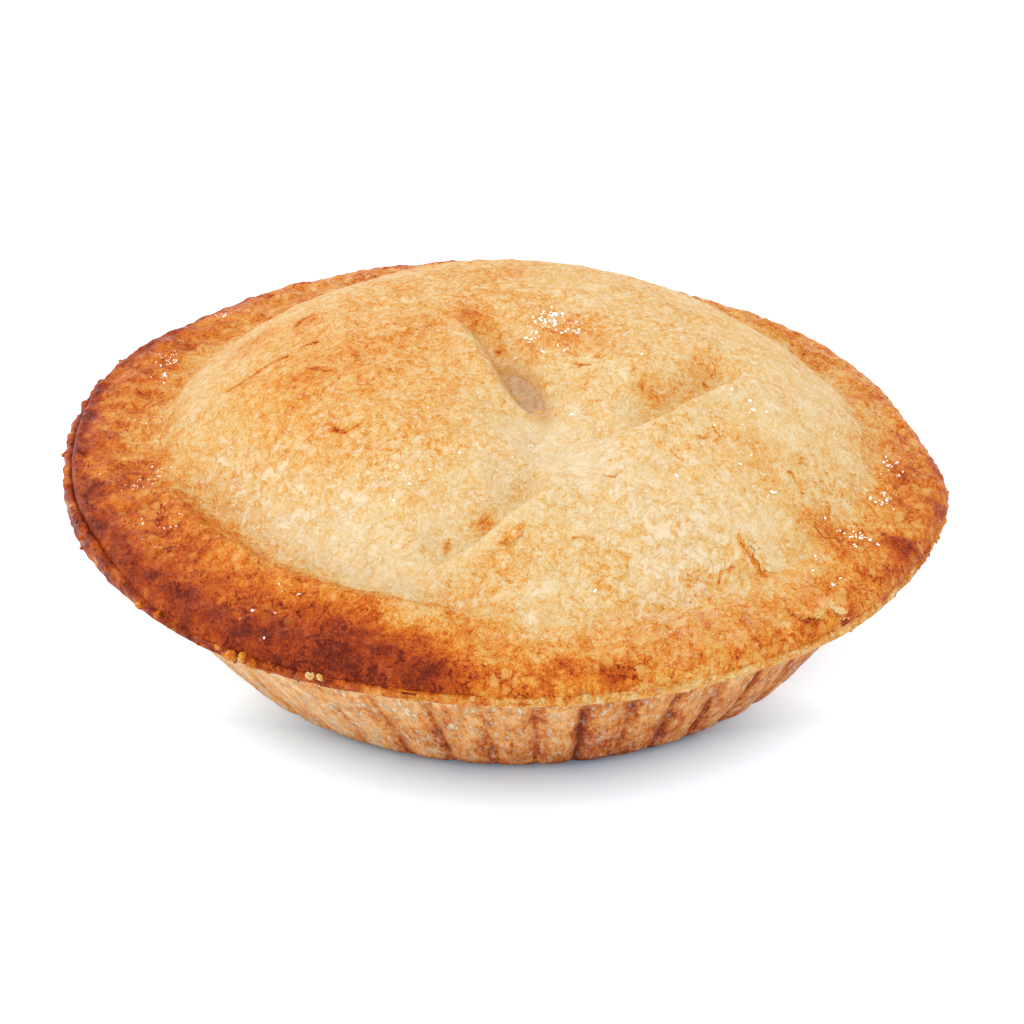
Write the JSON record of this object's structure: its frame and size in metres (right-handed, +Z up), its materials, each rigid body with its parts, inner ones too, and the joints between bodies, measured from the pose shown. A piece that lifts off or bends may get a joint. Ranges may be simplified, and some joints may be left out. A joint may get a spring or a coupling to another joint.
{
  "type": "lemon pie",
  "caption": "Small closed lemon pie: fluted pastry case with a broad flange, lemon filling, and a domed lid sealed onto the flange, with creased vent slits, one of them open.",
  "frame": {"origin": "middle of the pie's box, on the surface it stands on", "axes": "+Z up, +Y from the pictured front towards the back, +X to the right seen from the front"},
  "size_m": [0.1244, 0.1249, 0.0436],
  "materials": {
    "case_pastry": "dry short pastry, floury pale backs on its flutes and brown valleys between them",
    "lid_pastry": "baked pastry, pale gold and finely blistered on the dome, orange to dark brown on the rim",
    "lemon_filling": "damp, cooked lemon filling with a yellow fleck"
  },
  "bodies": {
    "root": {"base_crust": "case_pastry", "lemon_filling": "lemon_filling", "lid_crust": "lid_pastry"}
  },
  "joints": []
}
